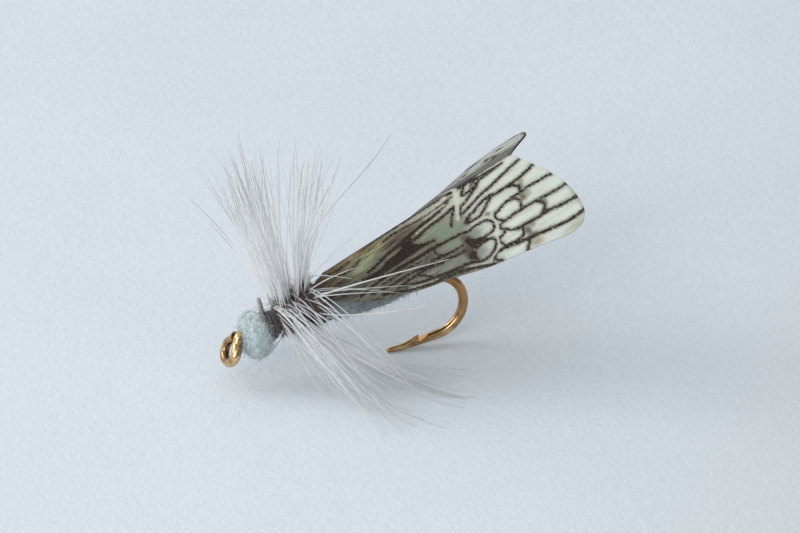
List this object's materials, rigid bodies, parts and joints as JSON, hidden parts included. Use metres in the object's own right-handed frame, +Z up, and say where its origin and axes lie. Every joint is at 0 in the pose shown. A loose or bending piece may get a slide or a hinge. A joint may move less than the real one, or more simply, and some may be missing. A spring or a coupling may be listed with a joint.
{
  "type": "dry fly",
  "caption": "Down-wing dry fly on a long-shank hook: ring eye, dubbed head and body, wound hackle and a folded printed wing.",
  "frame": {"origin": "centre of the hook's eye", "axes": "+X from the eye to the tail, +Z up as the fly stands on a table, the hook in the plane Y = 0"},
  "size_m": [0.0212, 0.02, 0.0136],
  "materials": {
    "hook_wire": "polished bronze-gold plating",
    "thread": "waxed dark grey-brown thread",
    "pale_dubbing": "matt woolly dubbing",
    "dark_dubbing": "matt woolly dubbing",
    "wing_film": "thin printed fibre film",
    "feather": "pale feather barbs",
    "feather_stem": "dry feather quill"
  },
  "bodies": {
    "root": {"hook": "hook_wire", "thread_base": "thread", "whip_finish": "thread", "thread_collar": "thread", "wing_lashing": "thread", "head_dubbing": "pale_dubbing", "body_dubbing": "pale_dubbing", "thorax_dubbing": "dark_dubbing", "wing": "wing_film", "hackle_stem": "feather_stem", "hackle_stub": "feather_stem", "hackle_upper_barbs": "feather", "hackle_lower_barbs": "feather"}
  },
  "joints": []
}
